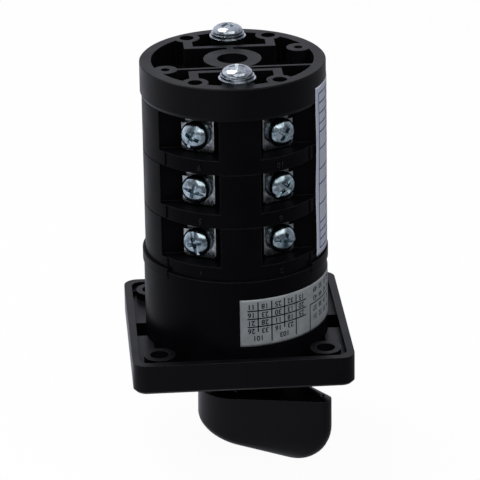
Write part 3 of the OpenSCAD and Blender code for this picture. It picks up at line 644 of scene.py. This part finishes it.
def wedge(mesh, length, width, depth, end_share, side_share, turn=0.0):
    """Adds a groove cutter round zero height, whose bottom has those shares of its length and width."""
    bottom = (-depth, length * end_share, width * side_share)
    top = (depth, 2 * length - length * end_share, 2 * width - width * side_share)
    corners = []
    for z, x, y in (bottom, top):
        for sx, sy in ((-1, -1), (1, -1), (1, 1), (-1, 1)):
            q = Vector((sx * x / 2, sy * y / 2, z))
            q.rotate(Matrix.Rotation(turn, 3, "Z").to_quaternion())
            corners.append(mesh.verts.new(q))
    for face in ((3, 2, 1, 0), (4, 5, 6, 7), (0, 1, 5, 4), (1, 2, 6, 5), (2, 3, 7, 6), (3, 0, 4, 7)):
        mesh.faces.new([corners[i] for i in face])


def mesh_object(name, mesh):
    data = bpy.data.meshes.new(name)
    mesh.to_mesh(data)
    mesh.free()
    thing = bpy.data.objects.new(name, data)
    bpy.context.scene.collection.objects.link(thing)
    return thing


# The screws; the terminal angle, the shank and the heads are as in the part's source
TERMINAL_ANGLE = math.radians(26)
SHANK_R = 2.0 * MM
TERMINAL_HEAD = {"head_r": 4.2 * MM, "head_h": 3.2 * MM, "rim_h": 0.8 * MM}
TIE_HEAD = {"head_r": 4.4 * MM, "head_h": 2.6 * MM, "rim_h": 0.5 * MM}
TIP_R_SHARE = 0.7
TIP_H = 0.5 * MM
THREAD_START = 0.8 * MM
THREAD_PITCH = 0.7 * MM
THREAD_ROOT_SHARE = 0.84
NECK_H = 0.5 * MM
RIM_SOFT = 0.15 * MM
DOME_STEPS = 12
SCREW_SIDES = 48
CREASE_ANGLE = math.radians(28)

# The cross recess and the slot in the heads
CROSS_LENGTH_SHARE = 1.15
CROSS_W = 1.25 * MM
CROSS_DEEP = 1.9 * MM
CROSS_END_SHARE = 0.45
CROSS_SIDE_SHARE = 0.5
SLOT_LENGTH_SHARE = 2.4
SLOT_W = 1.0 * MM
SLOT_DEEP = 1.15 * MM
SLOT_SIDE_SHARE = 0.95

# How far each screw is turned in, in degrees: front left, front right, back left and back right
TERMINAL_TURNS = {1: (105, -10, 20, 70), 2: (-15, 45, 80, 130), 3: (65, -35, 150, 10)}
TIE_TURNS = (88, 40)


def screw_body(head_r, head_h, rim_h, length):
    """A pan-head screw with thread rings and its top at zero."""
    body = bmesh.new()
    profile = [(0, -length), (SHANK_R * TIP_R_SHARE, -length), (SHANK_R, -length + TIP_H)]
    z = -length + THREAD_START
    while z < -head_h - NECK_H:
        profile += [(SHANK_R, z), (SHANK_R * THREAD_ROOT_SHARE, z + THREAD_PITCH / 2)]
        z += THREAD_PITCH
    profile += [(SHANK_R, -head_h), (head_r - RIM_SOFT, -head_h), (head_r, -head_h + RIM_SOFT)]
    for step in range(DOME_STEPS + 1):
        a = math.pi / 2 * step / DOME_STEPS
        r = head_r * math.cos(a) if step < DOME_STEPS else 0
        profile.append((r, rim_h - head_h + (head_h - rim_h) * math.sin(a)))
    lathe(body, profile, SCREW_SIDES)
    return mesh_object("screw_shape", body)


def groove(length, width, depth, end_share, side_share, turn=0.0):
    cutter = bmesh.new()
    wedge(cutter, length, width, depth, end_share, side_share, turn)
    return mesh_object("groove", cutter)


def screw_shape(head_r, head_h, rim_h, length, slotted):
    """A pan-head screw with its top at zero, with a cross recess and perhaps a slot across its head."""
    thing = screw_body(head_r, head_h, rim_h, length)
    cross = (head_r * CROSS_LENGTH_SHARE, CROSS_W, CROSS_DEEP, CROSS_END_SHARE, CROSS_SIDE_SHARE)
    grooves = [groove(*cross), groove(*cross, turn=math.pi / 2)]
    if slotted:
        grooves.append(groove(head_r * SLOT_LENGTH_SHARE, SLOT_W, SLOT_DEEP, 1.0, SLOT_SIDE_SHARE))
    for cutter in grooves:
        cut = thing.modifiers.new("cut", "BOOLEAN")
        cut.operation = "DIFFERENCE"
        cut.solver = "EXACT"
        cut.object = cutter
    shape = finished_mesh(thing)
    for spare in grooves + [thing]:
        bpy.data.objects.remove(spare)
    return shape


def seat_order(seat):
    """Sorts seats upwards, then from front to back, then from left to right."""
    top = seat[3]
    return round(top.z, 4), round(top.y, 4), top.x


def screws(name, outward, turns, head, slotted, finish):
    """Detailed screws in the place of a node's plain ones."""
    whole = bmesh.new()
    for seat, turn in zip(sorted(seats(name, outward), key=seat_order), turns):
        side, rise, out, top, length = seat
        shape = screw_shape(length=length, slotted=slotted, **head)
        axes = Matrix((side, rise, out)).transposed().to_4x4()
        shape.transform(Matrix.Translation(top) @ axes @ Matrix.Rotation(math.radians(turn), 4, "Z"))
        whole.from_mesh(shape)
        bpy.data.meshes.remove(shape)
    for face in whole.faces:
        face.smooth = True
    for edge in whole.edges:
        edge.smooth = edge.calc_face_angle(math.pi) < CREASE_ANGLE
    detail = new_piece(name + "_detail", whole, finish)
    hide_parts(name)


def terminal_outward(point):
    """The way a terminal screw faces, from the side of the switch that it is on."""
    x = math.copysign(math.sin(TERMINAL_ANGLE), point.x)
    y = math.copysign(math.cos(TERMINAL_ANGLE), point.y)
    return Vector((x, y, 0))


def all_screws():
    """The terminal screws of each stage, and the tie bolts."""
    for stage in STAGES:
        turns = TERMINAL_TURNS[stage]
        screws(f"terminal_screws_{stage}", terminal_outward, turns, TERMINAL_HEAD, True, zinc)
    screws("tie_bolts", lambda point: UP, TIE_TURNS, TIE_HEAD, False, tie_zinc)


# The springs; the wire and the turns are as in the part's source
SPRING_WIRE_R = 0.35 * MM
SPRING_TURNS = 5
SPRING_STEPS = 20
WIRE_SIDES = 8
CLOSED_PITCH = 2.1 * SPRING_WIRE_R


def coil_place(turn, open_length):
    """How far along a spring its wire is after so many turns: the first and last turn lie closed."""
    closed = CLOSED_PITCH * (min(turn, 1) + max(turn - 1 - SPRING_TURNS, 0))
    return closed + open_length * min(max((turn - 1) / SPRING_TURNS, 0), 1)


def coil_spring(name):
    """A coil spring between the housing and a slide, filling the box of the part's plain spring."""
    low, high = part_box(name)
    wire = SPRING_WIRE_R
    coil_r = (high.z - low.z) / 2 - wire
    y = (low.y + high.y) / 2
    z = (low.z + high.z) / 2
    open_length = high.x - low.x - 2 * wire - 2 * CLOSED_PITCH
    corners = [math.tau * k / WIRE_SIDES for k in range(WIRE_SIDES)]
    mesh = bmesh.new()
    rings = []
    for i in range((SPRING_TURNS + 2) * SPRING_STEPS + 1):
        turn = i / SPRING_STEPS
        out = Vector((0, math.cos(math.tau * turn), math.sin(math.tau * turn)))
        middle = Vector((low.x + wire + coil_place(turn, open_length), y, z)) + out * coil_r
        offsets = [wire * (out * math.cos(b) + Vector((math.sin(b), 0, 0))) for b in corners]
        rings.append([mesh.verts.new(middle + offset) for offset in offsets])
    for one, two in zip(rings, rings[1:]):
        for k in range(WIRE_SIDES):
            after = (k + 1) % WIRE_SIDES
            mesh.faces.new((one[k], one[after], two[after], two[k]))
    mesh.faces.new(rings[0][::-1])
    mesh.faces.new(rings[-1])
    bmesh.ops.recalc_face_normals(mesh, faces=mesh.faces)
    for face in mesh.faces:
        face.smooth = True
    piece = new_piece(name + "_coil", mesh, spring_steel, None)
    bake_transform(piece)
    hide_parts(name)


def all_springs():
    """The contact and index springs on both sides of the spindle."""
    for word, side in (("right", 1), ("left", -1)):
        for stage in STAGES:
            coil_spring(f"spring_{word}_{stage}")
        coil_spring(f"index_spring_{word}")


# Raised numerals under the terminals: front left, front right, back left and back right
NUMBER_AZIMUTHS = (-TERMINAL_ANGLE, TERMINAL_ANGLE, math.pi - TERMINAL_ANGLE, math.pi + TERMINAL_ANGLE)
NUMBER_RISE = 1.9 * MM
NUMBER_H = 2.4 * MM
NUMBER_LIFT = 0.05 * MM
NUMBER_T = 0.15 * MM


def terminal_numbers():
    """Small raised numerals on the ledges under the terminals, plain ones that count up."""
    count = 0
    for level in STAGES:
        low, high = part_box(f"stage_housing_{level}")
        for quarter, azimuth in enumerate(NUMBER_AZIMUTHS):
            count += 1
            raised = bmesh.new()
            wrap = Wrap(high.x, azimuth)
            wrap.digits(raised, str(count), 0.0, low.z + NUMBER_RISE, NUMBER_H, NUMBER_LIFT)
            name = f"terminal_number_{level}_{quarter + 1}"
            thicken(new_piece(name, raised, number_plastic), NUMBER_T)


# The floor's white for the camera and for all other rays
FLOOR_SEEN = linear(250, 250, 250)
FLOOR_UNSEEN = linear(30, 30, 30)


def floor_material():
    """White that shows plain but for the shadow, glows in what gloss mirrors, and is clear from below."""
    m = new_material("floor_white")
    m.shader.inputs["Roughness"].default_value = FLOOR_ROUGHNESS
    rays = m.add("ShaderNodeLightPath").outputs
    m.link(m.colours(rays["Is Camera Ray"], FLOOR_UNSEEN, FLOOR_SEEN), m.shader.inputs["Base Color"])
    glow = m.add("ShaderNodeEmission", strength=WHITE)
    m.link(m.colours(rays["Is Camera Ray"], ROOM_TINT, PLAIN_WHITE), glow.inputs["Color"])
    across = m.add("ShaderNodeSeparateXYZ")
    m.link(m.place(), across.inputs[0])
    side_glow = m.spread(across.outputs["X"], RIGHT_GLOW, FLOOR_GLOW, RIGHT_GLOW_END, LEFT_GLOW_START)
    mirrored = m.maths("MULTIPLY", rays["Is Glossy Ray"], side_glow)
    share = m.add("ShaderNodeMath", operation="MULTIPLY_ADD")
    m.link(rays["Is Camera Ray"], share.inputs[0])
    share.inputs[1].default_value = FLOOR_GLOW
    m.link(mirrored, share.inputs[2])
    above = m.mix(share.outputs[0], m.shader.outputs[0], glow.outputs[0])
    clear = m.add("ShaderNodeBsdfTransparent").outputs[0]
    surface = m.mix(m.add("ShaderNodeNewGeometry").outputs["Backfacing"], above, clear)
    m.link(surface, m.tree.nodes["Material Output"].inputs["Surface"])
    return m.owner


def stage_floor():
    """A white floor under the knob."""
    mesh = bpy.data.meshes.new("floor")
    corners = [(x * FLOOR_REACH, y * FLOOR_REACH, 0) for x, y in ((-1, -1), (1, -1), (1, 1), (-1, 1))]
    mesh.from_pydata(corners, [], [(0, 1, 2, 3)])
    mesh.materials.append(floor_material())
    floor = bpy.data.objects.new("floor", mesh)
    floor.location.z = cad_low.z - FLOOR_DROP
    bpy.context.scene.collection.objects.link(floor)


def area_light(name, offset, size, power):
    """A soft rectangular lamp that faces the middle of the object and that the camera doesn't see."""
    data = bpy.data.lights.new(name, "AREA")
    data.shape = "RECTANGLE"
    data.size, data.size_y = size
    data.energy = power
    lamp = bpy.data.objects.new(name, data)
    lamp.location = (cad_low + cad_high) / 2 + offset
    lamp.rotation_mode = "QUATERNION"
    lamp.rotation_quaternion = (-offset).to_track_quat("-Z", "Y")
    lamp.visible_camera = False
    bpy.context.scene.collection.objects.link(lamp)


def room():
    """A white room, which gloss sees darker in front and on the right, and which itself lights little."""
    world = bpy.data.worlds.new("studio")
    bpy.context.scene.world = world
    m = Nodes(world)
    m.tree.nodes.clear()
    rays = m.add("ShaderNodeLightPath").outputs
    split = m.add("ShaderNodeSeparateXYZ")
    m.link(m.add("ShaderNodeTexCoord").outputs["Generated"], split.inputs[0])
    behind = m.spread(split.outputs["Y"], MIRRORED_FRONT, MIRRORED_BACK, FRONT_END, BACK_START)
    left = m.spread(split.outputs["X"], MIRRORED_RIGHT, WHITE, SIDE_END, -SIDE_END)
    glossy = m.background(WHITE, ROOM_TINT)
    m.link(m.maths("MULTIPLY", behind, left), glossy.inputs["Strength"])
    soft = m.background(AMBIENT, PLAIN_WHITE)
    seen = m.background(WHITE, PLAIN_WHITE)
    unseen = m.mix(rays["Is Glossy Ray"], soft.outputs[0], glossy.outputs[0])
    clear = m.maths("MAXIMUM", rays["Is Camera Ray"], rays["Is Transmission Ray"])
    surface = m.mix(clear, unseen, seen.outputs[0])
    m.link(surface, m.add("ShaderNodeOutputWorld").inputs["Surface"])


def camera():
    """The photograph's camera."""
    ahead = Vector((-math.sin(CAMERA_TURN) * math.cos(CAMERA_LIFT),
                    math.cos(CAMERA_TURN) * math.cos(CAMERA_LIFT), -math.sin(CAMERA_LIFT)))
    right = ahead.cross(UP).normalized()
    up = right.cross(ahead)
    target = UP * AIM_HEIGHT + right * AIM_SIDE
    turned_right = right * math.cos(CAMERA_ROLL) + up * math.sin(CAMERA_ROLL)
    turned_up = up * math.cos(CAMERA_ROLL) - right * math.sin(CAMERA_ROLL)
    data = bpy.data.cameras.new("camera")
    data.sensor_width = SENSOR_W
    data.lens = FOCAL_PX / PHOTO_W * SENSOR_W
    data.clip_start = CLIP_NEAR
    data.clip_end = CLIP_FAR
    thing = bpy.data.objects.new("camera", data)
    axes = Matrix((turned_right, turned_up, -ahead)).transposed()
    thing.matrix_world = Matrix.Translation(target - ahead * CAMERA_DISTANCE) @ axes.to_4x4()
    bpy.context.scene.collection.objects.link(thing)
    bpy.context.scene.camera = thing


camera()
dress_nodes()
rating_label()
side_label()
all_screws()
all_springs()
terminal_numbers()
stage_floor()
room()
area_light("key", KEY_PLACE, KEY_SIZE, KEY_POWER)
area_light("front_fill", FILL_PLACE, FILL_SIZE, FILL_POWER)
bpy.context.scene.view_settings.view_transform = "Standard"
